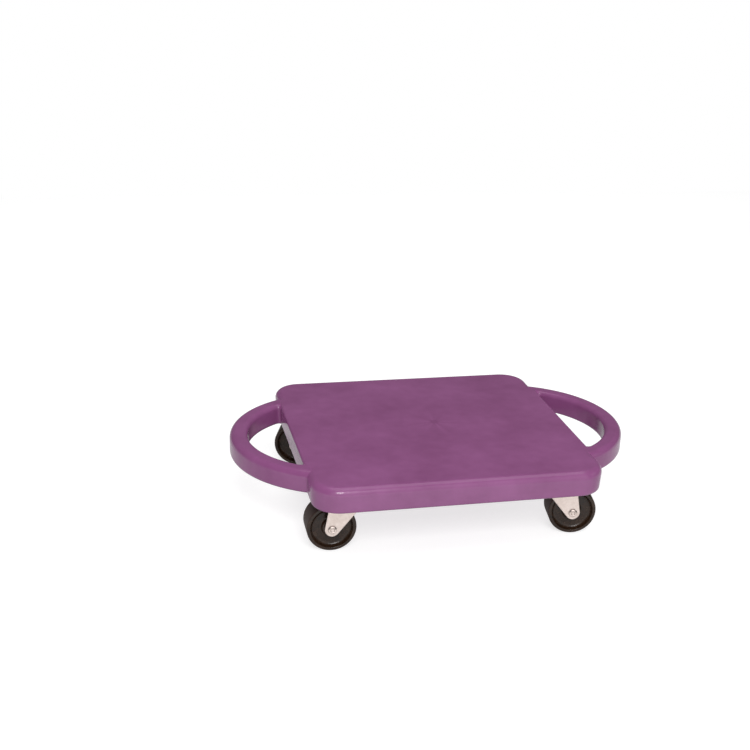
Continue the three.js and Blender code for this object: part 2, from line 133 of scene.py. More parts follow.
# %% Outlines, carried edges and turned pieces
def rounded_outline(half_x, half_y, radii, corner_steps=12, side_steps=6):
    """Points and outward directions round a rectangle: a quarter circle of each radius, then a straight
    side divided evenly. The corners follow each other from +x +y anticlockwise."""
    radii = np.broadcast_to(np.asarray(radii, float), (4,))
    quarter = np.arange(4)[:, None] * np.pi / 2
    turn = quarter + np.linspace(0, np.pi / 2, corner_steps + 1)[None, :]
    direction = np.stack([np.cos(turn), np.sin(turn)], -1)
    signs = np.sign(np.stack([np.cos(quarter[:, 0] + np.pi / 4), np.sin(quarter[:, 0] + np.pi / 4)], -1))
    centres = signs * (np.array([half_x, half_y]) - radii[:, None])
    arcs = centres[:, None, :] + radii[:, None, None] * direction
    along = np.linspace(0, 1, side_steps + 1)[None, 1:-1, None]
    sides = arcs[:, -1:] + along * (np.roll(arcs, -1, axis=0)[:, :1] - arcs[:, -1:])
    facing = np.repeat(direction[:, -1:], side_steps - 1, axis=1)
    points = np.concatenate([arcs, sides], 1).reshape(-1, 2)
    return points, np.concatenate([direction, facing], 1).reshape(-1, 2)


def carried_round(outline, profile):
    """Rings: the outline moved inwards by each profile point's inset, at its height."""
    points, direction = outline
    inset, height = np.array(profile, float).T
    flat = points[None] - inset[:, None, None] * direction[None]
    return np.concatenate([flat, np.broadcast_to(height[:, None, None], flat.shape[:2] + (1,))], -1)


def turned(profile, steps=48):
    """Rings: each profile point's radius at evenly spaced angles round the Z axis, at its height."""
    radius, height = np.array(profile, float).T
    angle = np.arange(steps) * 2 * np.pi / steps
    x, y = radius[:, None] * np.cos(angle), radius[:, None] * np.sin(angle)
    return np.stack([x, y, np.broadcast_to(height[:, None], x.shape)], -1)


def arc(x, y, radius, start, end, steps=8):
    """Points on a circle about x, y between two angles in degrees."""
    angle = np.radians(np.linspace(start, end, steps + 1))
    return [(x + radius * c, y + radius * s) for c, s in zip(np.cos(angle), np.sin(angle))]


# %% [markdown]
# ## The deck
#
# The deck is a tray turned upside down: a 4 mm skin on top, a 4 mm skirt all round that leans out a little
# so that the moulding leaves its mould, a generous rounding where they meet, and a small one at the foot.
# Its outline is one rounded square, so the whole wall is one edge profile carried round it: from the top
# out over the rounding, down the side, round the foot, up the inner face and in under the skin. Between the
# ends of a handle, where fingers reach in, the top rounding is much smaller, so its radius changes with the
# place on the outline, evenly over a short way that the handle's ends cover.

# %% Deck sizes
deck_half = 152.4
deck_foot, deck_top = 55.5, 82.55
corner_radius, top_rounding, hold_rounding, foot_rounding = 29.0, 8.0, 2.5, 3.5
side_draft, side_middle, wall, skin = 0.9, 66.8, 4.0, 4.0
hold_end, hold_blend = 88.0, 12.0


def deck_side_x(height, rounding):
    """Where the deck's side stands at a height: a quarter circle at the foot, a straight lean, a quarter
    circle of the given radius at the top."""
    low, high = deck_foot + foot_rounding, deck_top - top_rounding
    foot_rise = np.clip(1 - (height - deck_foot) / foot_rounding, 0, 1)
    foot = side_draft + foot_rounding * (1 - np.sqrt(1 - foot_rise**2))
    lean = side_draft * np.clip((high - height) / (high - low), 0, 1)
    top_rise = np.clip((height - (deck_top - rounding)) / rounding, 0, 1)
    top = rounding * (1 - np.sqrt(1 - top_rise**2))
    return deck_half - np.where(height < low, foot, lean + top)


def crown_rings(outline):
    """The deck's top edge: at each outline point a quarter circle, whose radius goes from hold_rounding to
    top_rounding along a smooth step that starts hold_end from the middle of a side that has a handle."""
    points, direction = outline
    step = np.clip((np.abs(points[:, 1]) - hold_end) / hold_blend, 0, 1)
    step = np.where(np.abs(direction[:, 0]) > 0.99, step * step * (3 - 2 * step), 1)
    radius = hold_rounding + (top_rounding - hold_rounding) * step
    turn = np.linspace(0, np.pi / 2, 17)[:, None]
    inset = radius * (1 - np.sin(turn))
    height = deck_top - radius * (1 - np.cos(turn))
    inset = np.concatenate([[radius + 1, radius + 0.3], inset])
    height = np.concatenate([np.full((2, len(radius)), deck_top), height])
    flat = points - inset[:, :, None] * direction
    return np.concatenate([flat, height[:, :, None]], -1)


def deck_walls():
    """The crown, then the rest of the tray's edge profile as pairs of inset and height."""
    foot = [(side_draft + deck_half - x, z) for x, z in
            arc(deck_half - foot_rounding, deck_foot + foot_rounding, foot_rounding, 0, -90, 10)]
    inner = side_draft + wall
    ceiling = deck_top - skin
    under = [(inner, deck_foot + 0.3), (inner + 0.2, ceiling - 2.2), (inner + 0.5, ceiling - 1.2),
             (inner + 1.2, ceiling - 0.4), (inner + 2.2, ceiling), (inner + 3, ceiling)]
    profile = [(0.02, deck_top - top_rounding - 0.4), (side_draft / 2, side_middle)]
    profile += [(side_draft - 0.02, deck_foot + foot_rounding + 0.4)] + foot
    profile += [(inner - 0.15, deck_foot)] + under
    outline = rounded_outline(deck_half, deck_half, corner_radius, 20, 74)
    return stacked(np.concatenate([crown_rings(outline), carried_round(outline, profile)]))


deck_tray = deck_walls()
print("deck tray:", len(deck_tray[0]), "points")

# %% [markdown]
# ## The loop handles
#
# Each handle is part of the same moulding: an arc of a ring, flat on top with softened edges and cored from
# below. At its two roots the bar spreads into the deck's side with a small inside curve, so the moulding
# doesn't crack there. Seen from above at any one height, an edge of the bar is a big arc with a small arc
# at either end that is tangent to the deck's side at that height. The section's own rounding is the same
# curve moved into the material. So the handle is a surface over two parameters: along the edge curve, and
# round the bar's section.

# %% Handle sizes and edge curves
ring_centre, ring_outer, bar_width, bar_height = 100.1, 117.4, 19.0, 23.6
handle_top = deck_top - 0.3
handle_foot = handle_top - bar_height
outer_edge, inner_edge, foot_edge, root_radius = 7.0, 5.5, 3.5, 3.0
bar_wall = 3.8
root_steps, ring_steps = 10, 72


def handle_edge(outer, depth, height):
    """Points along one edge of the bar, moved into the material by depth, from the front root to the rear.
    The small arc's centre is root_radius from the deck's side and from the ring's edge; its radius and the
    ring's grow or shrink by depth. Points stop short of the inside of the skirt, and above its ceiling
    where the deck's top is flat."""
    side = float(deck_side_x(np.array(height), top_rounding if outer else hold_rounding))
    reach = ring_outer + root_radius if outer else ring_outer - bar_width - root_radius
    ring = ring_outer - depth if outer else ring_outer - bar_width + depth
    swing = math.acos((side + root_radius - ring_centre) / reach)
    start, end = (math.pi, math.pi - swing) if outer else (-math.pi, -swing)
    turn = np.linspace(start, end, root_steps, endpoint=False)
    root_x = ring_centre + reach * math.cos(swing) + (root_radius + depth) * np.cos(turn)
    root_y = -reach * math.sin(swing) + (root_radius + depth) * np.sin(turn)
    along = np.linspace(-swing, swing, ring_steps + 1)
    ring_x, ring_y = ring_centre + ring * np.cos(along), ring * np.sin(along)
    x = np.concatenate([root_x, ring_x, root_x[::-1]])
    y = np.concatenate([root_y, ring_y, -root_y[::-1]])
    nearest = deck_half - (top_rounding - 1 if height > deck_top - skin else wall + 0.7)
    return np.stack([np.maximum(x, nearest), y, np.full_like(x, height)], -1)


def section_rows(top_edge):
    """Half of the bar's section as rows of depth and height, from the foot to the top, and the channel
    inside it."""
    foot = [(foot_edge + c, s) for c, s in arc(0, handle_foot + foot_edge, foot_edge, 270, 180, 6)]
    side = [(0.0, handle_foot + foot_edge + 0.4), (0.0, (handle_foot + handle_top) / 2),
            (0.0, handle_top - top_edge - 0.4)]
    crown = [(top_edge + c, s) for c, s in arc(0, handle_top - top_edge, top_edge, 180, 90, 10)]
    channel = [(bar_wall + 0.9, handle_top - bar_wall), (bar_wall + 0.3, handle_top - bar_wall - 0.6),
               (bar_wall, handle_foot + 0.5), (bar_wall - 0.3, handle_foot + 0.1)]
    outward = foot + side + crown
    return outward, channel


def loop_handle(sign):
    """All rows of the section as edge curves. Where the section crosses from the outer edge to the inner
    one, on top and in the channel, the rows between are mixed from the two. On top, the outer edge's last
    row is inside the deck along the small arcs, so the mixed rows leave from one point there and don't
    cross each other."""
    outward, channel = section_rows(outer_edge)
    inward, channel = section_rows(inner_edge)
    outer = [handle_edge(True, depth, height) for depth, height in outward]
    inner = [handle_edge(False, depth, height) for depth, height in inward[::-1]]
    shoulder = outer[-1].copy()
    shoulder[:root_steps], shoulder[-root_steps:] = shoulder[root_steps], shoulder[-root_steps - 1]
    top = [shoulder + mix * (inner[0] - shoulder) for mix in (0.06, 0.35, 0.65, 0.94)]
    inner_wall = [handle_edge(False, depth, height) for depth, height in channel[::-1]]
    outer_wall = [handle_edge(True, depth, height) for depth, height in channel]
    under = [inner_wall[-1] + mix * (outer_wall[0] - inner_wall[-1]) for mix in (0.1, 0.5, 0.9)]
    rows = np.stack(outer + top + inner + inner_wall + under + outer_wall)
    rings = rows.transpose(1, 0, 2) * np.array([sign, 1, 1])
    return stacked(rings)


handles = [loop_handle(1), loop_handle(-1)]
print("each handle:", len(handles[0][0]), "points, tip at x =", round(handles[0][0][:, 0].max(), 2), "mm")

# %% [markdown]
# ## Ribs and pads under the deck
#
# A thin skin needs ribs. They stand on a grid under the deck, a little short of the skirt's foot so that
# they never touch the ground. Each caster has a solid pad above its plate.
# A rib or pad is a rounded outline with a short edge profile, a little narrower at its foot than at its
# root, as everything that leaves a mould is.

# %% Ribs and pads
swivels = {"front_left": (-110, -106), "front_right": (110, -106),
           "rear_left": (-110, 106), "rear_right": (110, 106)}
rib_half, rib_foot, pad_foot = 1.25, 58.5, 63.5
pad_near_x, pad_near_y, inner_wall_at = 83.0, 71.0, deck_half - side_draft - wall
rib_root = deck_top - skin / 2


def upright_block(x_low, x_high, y_low, y_high, low, high, radii, taper=0.25, edge=0.5):
    """A block with rounded corners: its outline is at full size at the top, taper smaller at the foot, and
    the foot's edge is a small chamfer."""
    outline = rounded_outline((x_high - x_low) / 2, (y_high - y_low) / 2, radii, 5, 2)
    profile = [(taper + edge, low), (taper, low + edge), (0, high)]
    middle = np.array([(x_low + x_high) / 2, (y_low + y_high) / 2, 0])
    return stacked(carried_round(outline, profile) + middle)


def deck_ribs():
    """Three ribs each way: through the middle and along the inner edges of the pads."""
    skins, half = [], inner_wall_at + 1
    for near, across in ((pad_near_x, True), (pad_near_y, False)):
        for place in (-near, 0, near):
            low, high = place - rib_half, place + rib_half
            box = (low, high, -half, half) if across else (-half, half, low, high)
            skins.append(upright_block(*box, rib_foot, rib_root, 0.9, 0.2, 0.35))
    return skins


def caster_pads():
    """A pad fills its corner of the tray from just over the caster's plate up into the skin."""
    skins = []
    for x, y in swivels.values():
        x_low, x_high = sorted((math.copysign(pad_near_x, x), math.copysign(inner_wall_at + 1.5, x)))
        y_low, y_high = sorted((math.copysign(pad_near_y, y), math.copysign(inner_wall_at + 1.5, y)))
        corner = [(1, 1), (-1, 1), (-1, -1), (1, -1)].index((np.sign(x), np.sign(y)))
        radii = [2.0] * 4
        radii[corner] = corner_radius - wall
        skins.append(upright_block(x_low, x_high, y_low, y_high, pad_foot, rib_root, radii))
    return skins


def handle_ribs(sign, spacing=17.0):
    """Six short walls across the channel of a handle, spacing degrees apart, each turned to face the
    ring's centre."""
    skins = []
    outer, inner = ring_outer - bar_wall + 0.6, ring_outer - bar_width + bar_wall - 0.6
    for step in range(6):
        angle = math.radians(spacing * (step - 2.5))
        block = upright_block(inner, outer, -rib_half, rib_half, handle_foot + 0.4, handle_top - 2,
                              0.6, 0.2, 0.3)
        turn = Matrix.Rotation(angle + (0 if sign > 0 else math.pi), 4, "Z")
        skins.append(moved(block, Matrix.Translation((sign * ring_centre, 0, 0)) @ turn))
    return skins


underside = deck_ribs() + caster_pads() + handle_ribs(1) + handle_ribs(-1)
print("ribs and pads:", len(underside))

# %% [markdown]
# ## Finishes
#
# Four materials: moulded plastic, zinc plated steel, polished steel and the wheels' hard rubber. Two
# effects are each used by more than one of them, so these are node groups, made once. Cloudiness, on all
# four, is a soft noise at two sizes: it varies colour and roughness a little, as nothing made is perfectly
# even. Hairlines, on zinc and rubber, are thin scratches, where a stretched noise crosses one value.

# %% Nodes and shared effects
def fill(tree, node, inputs):
    """Each socket, by name or number, is given its value, or is linked to another node's output."""
    for socket, value in dict(inputs).items():
        if isinstance(value, bpy.types.NodeSocket):
            tree.links.new(value, node.inputs[socket])
        else:
            node.inputs[socket].default_value = value


def new_node(tree, kind, inputs=(), **settings):
    """A shader node: first its settings, then its sockets."""
    node = tree.nodes.new("ShaderNode" + kind)
    for name, value in settings.items():
        setattr(node, name, value)
    fill(tree, node, inputs)
    return node


def calculated(tree, operation, *inputs):
    """A number worked out from values or other nodes' outputs."""
    return new_node(tree, "Math", enumerate(inputs), operation=operation).outputs[0]


def mixed(tree, share, first, second, data_type="FLOAT"):
    """What goes from first to second as the share goes from 0 to 1."""
    inputs = {"Factor": share, "A": first, "B": second}
    return new_node(tree, "Mix", inputs, data_type=data_type).outputs["Result"]


def new_group(name, output, inputs):
    """A node group with named numbers going in, each with a value for when nothing is set, and one number
    coming out."""
    group = bpy.data.node_groups.new(name, "ShaderNodeTree")
    for socket, value in inputs.items():
        entry = group.interface.new_socket(name=socket, in_out="INPUT", socket_type="NodeSocketFloat")
        entry.default_value = value
    group.interface.new_socket(name=output, in_out="OUTPUT", socket_type="NodeSocketFloat")
    return group, group.nodes.new("NodeGroupInput").outputs, group.nodes.new("NodeGroupOutput")


def cloudiness_group(finer_by=5.0):
    """Noise at the given size, mixed with noise that is finer by a factor."""
    group, entry, leave = new_group("cloudiness", "Cloud", {"Size": 20.0, "Fine share": 0.35})
    place = new_node(group, "TexCoord").outputs["Object"]
    finer = calculated(group, "MULTIPLY", entry["Size"], finer_by)
    coarse = new_node(group, "TexNoise", {"Vector": place, "Scale": entry["Size"], "Detail": 3.0})
    fine = new_node(group, "TexNoise", {"Vector": place, "Scale": finer})
    cloud = mixed(group, entry["Fine share"], coarse.outputs["Fac"], fine.outputs["Fac"])
    fill(group, leave, {"Cloud": cloud})
    return group


def hairlines_group():
    """Thin lines where a noise, pulled out along one direction, is close to a given value. Two such noises
    give lines in two directions."""
    group, entry, leave = new_group("hairlines", "Lines", {"Size": 30.0, "Width": 0.012})
    place, lines = new_node(group, "TexCoord").outputs["Object"], []
    pulls = (((0.2, 0.1, 0.6), (1, 0.06, 1), 0.5), ((0.1, 0.3, -0.9), (0.05, 1, 1), 0.56))
    for turn, stretch, level in pulls:
        pull = new_node(group, "Mapping", {"Vector": place, "Rotation": turn, "Scale": stretch})
        noise = new_node(group, "TexNoise", {"Vector": pull.outputs["Vector"], "Scale": entry["Size"]})
        off = calculated(group, "SUBTRACT", noise.outputs["Fac"], level)
        lines.append(calculated(group, "COMPARE", off, 0.0, entry["Width"]))
    fill(group, leave, {"Lines": calculated(group, "MAXIMUM", *lines)})
    return group


cloudiness, hairlines = cloudiness_group(), hairlines_group()
print("shared effects:", cloudiness.name, "and", hairlines.name)

# %% Helpers for building a finish
def srgb(red, green, blue):
    """A colour given as it looks on a screen, 0 to 255, as the light values that a shader takes."""
    value = np.array([red, green, blue]) / 255
    linear = np.where(value <= 0.04045, value / 12.92, ((value + 0.055) / 1.055) ** 2.4)
    return (*linear.tolist(), 1.0)


def new_finish(name):
    """A material with only its shader and output, its tree of nodes, and the shader."""
    finish = bpy.data.materials.new(name)
    finish.use_nodes = True
    return finish, finish.node_tree, finish.node_tree.nodes["Principled BSDF"]


def effect(tree, group, **values):
    """What a shared effect gives in a material, with the material's own values."""
    inputs = {name.replace("_", " "): value for name, value in values.items()}
    return new_node(tree, "Group", inputs, node_tree=group).outputs[0]


def ranged(tree, source, near, far, least=0.0, most=1.0):
    """A number that goes evenly from least to most as the source goes from near to far."""
    inputs = {"Value": source, "From Min": near, "From Max": far, "To Min": least, "To Max": most}
    return new_node(tree, "MapRange", inputs).outputs["Result"]


def blend_colours(tree, source, first, second, low=0.35, high=0.65):
    """A colour between first and second, as the source goes from low to high."""
    return mixed(tree, ranged(tree, source, low, high), first, second, "RGBA")


def point_value(tree, name):
    """The number of this name that a piece's points carry, or 0 on a piece without it."""
    return new_node(tree, "Attribute", attribute_name=name).outputs["Fac"]


def add_bump(tree, shader, height, distance, strength=1.0):
    """A bump of the given height in metres, over whatever normal the shader already has."""
    inputs = {"Height": height, "Distance": distance, "Strength": strength}
    if shader.inputs["Normal"].is_linked:
        inputs["Normal"] = shader.inputs["Normal"].links[0].from_socket
    fill(tree, shader, {"Normal": new_node(tree, "Bump", inputs).outputs["Normal"]})


# %% [markdown]
# ## Moulded plastic
#
# The plastic is glossy, with the faint skin of a mould that isn't quite polished. The melt enters near the
# middle of the deck, at the gate, and leaves a small mark and weak rays there. Two things make rays: the
# direction from the gate picks a stripe, and a cloud breaks the stripes up.

# %% The deck's plastic
gate_place = (0.007, 0.006, 0)


def plastic_finish():
    """Plum plastic: cloud in colour and roughness, rays and a small dark mark at the gate, and an even fine
    bump. The rays are a noise of the direction from the gate alone, strongest near it."""
    finish, tree, shader = new_finish("plum_plastic")
    cloud = effect(tree, cloudiness, Size=14.0, Fine_share=0.3)
    place = new_node(tree, "TexCoord").outputs["Object"]
    gate = new_node(tree, "VectorMath", {0: place, 1: gate_place}, operation="SUBTRACT").outputs["Vector"]
    flat = new_node(tree, "VectorMath", {0: gate, 1: (1, 1, 0)}, operation="MULTIPLY").outputs["Vector"]
    reach = new_node(tree, "VectorMath", {0: flat}, operation="LENGTH").outputs["Value"]
    way = new_node(tree, "VectorMath", {0: flat}, operation="NORMALIZE").outputs["Vector"]
    ray = new_node(tree, "TexNoise", {"Vector": way, "Scale": 1.9, "Detail": 2.0}).outputs["Fac"]
    rays = mixed(tree, ranged(tree, reach, 0.006, 0.036, 0.7, 0.16), cloud, ray)
    flow = calculated(tree, "MULTIPLY", rays, ranged(tree, reach, 0.0015, 0.0065, 0.45, 1.0))
    colour = blend_colours(tree, flow, srgb(126, 68, 114), srgb(146, 85, 135), 0.3, 0.7)
    rough = ranged(tree, flow, 0, 1, 0.12, 0.3)
    fill(tree, shader, {"Base Color": colour, "Roughness": rough, "IOR": 1.46})
    add_bump(tree, shader, effect(tree, cloudiness, Size=260.0, Fine_share=0.5), 0.00006, 0.5)
    return finish


plum_plastic = plastic_finish()
deck_piece = make_piece("deck_moulding", [deck_tray] + handles + underside, plum_plastic, "board",
                        ["deck"])
print("deck moulding:", len(deck_piece.data.polygons), "faces")

# %% [markdown]
# ## Metal and wheel finishes
#
# The stampings are zinc plated: bright and slightly warm, with soft clouds and a fine rolled grain that
# keep them from looking like mirrors. Shade is painted into the rivets' hollows. Balls are polished. The
# wheels are hard dark rubber, nearly black with a touch of brown, scuffed, and not as glossy as the deck.

# %% Zinc, bearing steel and wheel rubber
def zinc_finish():
    """Zinc plate: pale and metallic, cloudy, with a fine bump. Pieces that carry a number on their points
    are painted darker where it is high, as shade in their hollows and creases; others have none."""
    finish, tree, shader = new_finish("zinc_plate")
    cloud = effect(tree, cloudiness, Size=70.0, Fine_share=0.55)
    clean = blend_colours(tree, cloud, srgb(208, 193, 185), srgb(226, 213, 206))
    # Painted shade: a darker colour where the points' number is high, standing for shade in the rivets'
    # hollows.
    colour = mixed(tree, point_value(tree, "painted_shade"), clean, srgb(92, 84, 80), "RGBA")
    rough = ranged(tree, cloud, 0, 1, 0.34, 0.6)
    fill(tree, shader, {"Base Color": colour, "Roughness": rough, "Metallic": 0.85})
    add_bump(tree, shader, effect(tree, cloudiness, Size=900.0, Fine_share=0.4), 0.00003, 0.5)
    add_bump(tree, shader, effect(tree, hairlines, Size=110.0, Width=0.012), -0.00001, 0.3)
    return finish


def bearing_finish():
    """Polished steel: bright, smooth, with a hint of oil that clouds the shine."""
    finish, tree, shader = new_finish("bearing_steel")
    cloud = effect(tree, cloudiness, Size=240.0, Fine_share=0.4)
    colour = blend_colours(tree, cloud, srgb(196, 196, 200), srgb(212, 211, 212))
    rough = ranged(tree, cloud, 0, 1, 0.1, 0.28)
    fill(tree, shader, {"Base Color": colour, "Roughness": rough, "Metallic": 1.0})
    return finish


def rubber_finish():
    """Wheel rubber: brown-black, mottled and scuffed, dull and dusty where the points' wear is high."""
    finish, tree, shader = new_finish("wheel_rubber")
    cloud, wear = effect(tree, cloudiness, Size=60.0, Fine_share=0.5), point_value(tree, "wear")
    clean = blend_colours(tree, cloud, srgb(27, 16, 9), srgb(52, 35, 23))
    colour = mixed(tree, wear, clean, srgb(62, 46, 40), "RGBA")
    rough = mixed(tree, wear, ranged(tree, cloud, 0, 1, 0.1, 0.4), 0.62)
    fill(tree, shader, {"Base Color": colour, "Roughness": rough, "IOR": 1.4})
    add_bump(tree, shader, effect(tree, hairlines, Size=160.0, Width=0.01), -0.00002, 0.4)
    add_bump(tree, shader, effect(tree, cloudiness, Size=420.0, Fine_share=0.5), 0.00016, 0.6)
    return finish


zinc_plate, bearing_steel, wheel_rubber = zinc_finish(), bearing_finish(), rubber_finish()
print("finishes:", [finish.name for finish in bpy.data.materials])

# %% [markdown]
# ## The caster's fork
#
# The fork is one strip of 2 mm steel bent twice: a crown that turns under the plate and a leg down either
# side of the wheel. Unfolded, it is a flat blank. So it is drawn that way: one parameter runs along the
# blank from one leg's tip over the crown to the other, and at each place the blank has a front edge and a
# rear edge. Round the blank's own section go the outer face, the rounded edges and the inner face.

# %% Caster sizes
pitch, ball = 11.5, 4.76
plate_foot = pad_foot - 2.3
race_gap = ball + 2 * 0.25 - 2 * 0.9
crown_top = plate_foot - race_gap
sheet, bend, sheet_edge = 2.0, 2.5, 0.45
wheel_radius, wheel_half, trail = 25.4, 14.3, 19.0
leg_inner = wheel_half + 1.5
leg_outer = leg_inner + sheet
tip_radius, lean = 7.5, math.radians(10)
crown_lead, nose_front, nose_corner = pitch + ball / 2 + 1.6, 17.6, 11.0
print("crown top at", round(crown_top, 2), "mm, legs", 2 * leg_outer, "mm wide outside")


# %% The fork's edges and its bent blank
def front_edge(y, z):
    """How far forward the blank reaches: a rounded nose in plan, a slant from the crown down to the
    round of the leg's tip seen from the side, and below that the round itself."""
    nose = -(nose_front - nose_corner + np.sqrt(np.maximum(
        nose_corner**2 - np.maximum(np.abs(y) - (leg_outer - nose_corner), 0) ** 2, 0)))
    across, up = trail + crown_lead, crown_top - sheet - wheel_radius
    slant = math.atan2(across, up) - math.asin(tip_radius / math.hypot(across, up))
    line = -crown_lead + (crown_top - sheet - z) * math.tan(slant)
    meets = wheel_radius - tip_radius * math.sin(slant)
    drop = np.clip(tip_radius**2 - (z - wheel_radius) ** 2, 0, None)
    side = np.where(z > meets, line, trail - np.sqrt(drop))
    return np.where(z > crown_top - sheet, nose, np.maximum(nose, side))


def rear_edge(y, z):
    """How far back it reaches: the round of the tip, a straight edge that leans forward as it rises, and
    across the crown a hollow that clears the wheel."""
    foot, meets = trail + tip_radius * math.cos(lean), tip_radius * math.sin(lean)
    rise = z - wheel_radius - meets
    leg = foot - rise * math.tan(lean)
    drop = np.clip(tip_radius**2 - (z - wheel_radius) ** 2, 0, None)
    leg = np.where(rise > 0, leg, trail + np.sqrt(drop))
    hollow = leg_inner - 2
    back = foot - (crown_top - wheel_radius - meets) * math.tan(lean)
    scallop = back - 5 + hollow - np.sqrt(np.maximum(hollow**2 - y**2, 0))
    return np.where(z > crown_top - 0.01, np.minimum(leg, np.where(np.abs(y) < hollow, scallop, leg)), leg)


def fork_skin():
    """Places along the blank give y and z of its outer face and the way it faces. Round the section, each
    point is a share of the way from front to rear, a nudge in from the edge, and a depth in the sheet."""
    turn = bend + sheet
    low = wheel_radius - tip_radius + 0.02
    tip = low + tip_radius * (1 - np.cos(np.linspace(0, np.pi / 2, 15)))
    leg_z = np.concatenate([tip, np.linspace(wheel_radius, crown_top - turn, 20)[1:]])
    corner = np.linspace(0, np.pi / 2, 11)[1:]
    crown_y = np.linspace(leg_outer - turn, -(leg_outer - turn), 41)[1:-1]
    y = np.concatenate([np.full_like(leg_z, leg_outer), leg_outer - turn + turn * np.cos(corner), crown_y])
    z = np.concatenate([leg_z, crown_top - turn + turn * np.sin(corner), np.full_like(crown_y, crown_top)])
    facing = np.concatenate([np.zeros_like(leg_z), corner, np.full_like(crown_y, np.pi / 2)])
    half = len(leg_z) + len(corner)
    y = np.concatenate([y, -y[:half][::-1]])
    z = np.concatenate([z, z[:half][::-1]])
    facing = np.concatenate([facing, np.pi - facing[:half][::-1]])
    front, rear = front_edge(y, z), rear_edge(y, z)
    edge = np.minimum(sheet_edge, sheet_edge * (rear - front))
    round_off = np.linspace(0, np.pi / 2, 4)
    nudge, depth = 1 - np.sin(round_off), sheet_edge * (1 - np.cos(round_off))
    middle = np.linspace(0, 1, 13)[1:-1]
    share = np.concatenate([middle, np.ones(8), middle[::-1], np.zeros(8)])
    inward = np.concatenate([1 - 2 * middle, -nudge, -nudge[::-1],
                             1 - 2 * middle[::-1], nudge, nudge[::-1]])
    deep = np.concatenate([0 * middle, depth, sheet - depth[::-1],
                           sheet + 0 * middle, sheet - depth, depth[::-1]])
    x = front[:, None] + share * (rear - front)[:, None] + inward * edge[:, None]
    out_y, out_z = np.cos(facing)[:, None], np.sin(facing)[:, None]
    return stacked(np.stack([x, y[:, None] - deep * out_y, z[:, None] - deep * out_z], -1))


def race_cup(level, way):
    """A pressed ring that holds the balls: a low collar either side of a shallow track."""
    turn = np.linspace(-1.5, 1.5, 13)
    track = list(zip(pitch + 2.1 * np.sin(turn), 0.05 + 0.55 * (1 - np.cos(turn))))
    profile = [(pitch - 3.6, 0.0), (pitch - 2.9, 0.5)] + track + [(pitch + 2.9, 0.5), (pitch + 3.6, 0.0)]
    profile += [(pitch + 3.0, -0.6), (pitch - 3.0, -0.6)]
    return looped(turned([(radius, level + way * rise) for radius, rise in profile], 64))


fork = fork_skin()
print("fork:", len(fork[0]), "points")

# %% [markdown]
# ## The wheel
#
# The wheel is turned: a flat tread with rounded edges, a raised lip round each side, a dished web and a
# hub that stands out almost to the lip. The profile is carried round the axle. It is mirrored for the far
# side by writing it backwards with its places negated, so both sides match.

# %% Wheel, axle and rivet
def on_axle(skin):
    """Turns a skin from the Z axis onto the axle: z becomes y, and the middle moves to the wheel's."""
    turn = Matrix(((1, 0, 0, trail), (0, 0, 1, 0), (0, -1, 0, wheel_radius), (0, 0, 0, 1)))
    return moved(skin, turn)


def wheel_skin():
    """Half of the wheel's profile from its bore out to the middle of the tread, then its mirror image. The
    skin, and the wear at each of its points: 1 on the tread, 0 on the faces."""
    bore, hub, edge, dish, around = 4.85, 9.5, 1.8, 5, 128
    web = wheel_half - dish
    side = [(bore, wheel_half - 1.5), (bore + 0.5, wheel_half - 1)]
    side += arc(hub - 1.2, wheel_half - 2.2, 1.2, 90, 10, 5) + arc(hub + 1.6, web + 1.2, 1.2, 190, 270, 5)
    side += [(14.0, web), (16.6, web)]
    side += arc(17.2, web + 4.0, 4.0, 278, 340, 7)
    side += arc(wheel_radius - 3.0, wheel_half - 0.7, 0.7, 160, 90, 5)
    side += [(wheel_radius - edge - 0.4, wheel_half)]
    side += arc(wheel_radius - edge, wheel_half - edge, edge, 88, 0, 10)
    side += [(wheel_radius, wheel_half - edge - 0.4), (wheel_radius, 4.0)]
    far = [(radius, -place) for radius, place in side[::-1]]
    radii = np.array([radius for radius, _ in side + far])
    wear = np.repeat(np.clip(radii - wheel_radius + 1, 0, 1), around)
    return on_axle(looped(turned(side + far, around))), wear


def rivet_head(way, around=60, deepest=0.6):
    """A tube rivet rolled over: a ring that swells and falls to a hollow middle. The punch has pressed its
    rim down over two wide ranges of angles and a faint third. Shade is painted where it is pressed, round
    the foot of the head and in the hollow. The skin and the painted shade at each of its points."""
    seat = way * (leg_outer + 0.15)
    profile = np.array([(4.2, 0.0), (4.4, 0.5), (4.3, 1.0), (3.9, 1.45), (3.3, 1.72), (2.6, 1.7),
                        (2.1, 1.35), (1.85, 0.9), (1.5, 0.75), (0.6, 0.7)])
    radius, rise = profile.T
    rings = turned(profile, around)
    angle = np.arange(around) * 2 * np.pi / around
    pressed = sum(depth * np.exp(-(((angle - place + np.pi) % (2 * np.pi) - np.pi) / 0.36) ** 4)
                  for place, depth in ((1.6, 0.3), (3.75, 1.0), (5.65, 1.0)))
    rim = np.exp(-(((radius - 3.8) / 0.75) ** 2))
    rings[:, :, 2] -= deepest * rim[:, None] * pressed[None, :] * (rise > 0.2)[:, None]
    rings[:, :, 2] = seat + way * rings[:, :, 2]
    hollow = np.exp(-(((radius - 1.9) / 0.35) ** 2)) * 0.35
    # Painted shade: darker in the pressed dips, round the foot of the head and in the hollow.
    painted_shade = (rise < 0.6)[:, None] * 0.8 + hollow[:, None] + rim[:, None] * pressed[None, :]
    return on_axle(stacked(rings)), np.clip(painted_shade, 0, 1).ravel()


def axle_skins():
    """The rivet's shank and its two heads, and the painted shade at their points: none on the shank."""
    shank = on_axle(stacked(turned([(3.2, -leg_outer - 0.6), (3.2, leg_outer + 0.6)], 32)))
    heads = [rivet_head(1), rivet_head(-1)]
    painted_shade = np.concatenate([np.zeros(len(shank[0]))] + [share for _, share in heads])
    return [shank] + [skin for skin, _ in heads], painted_shade


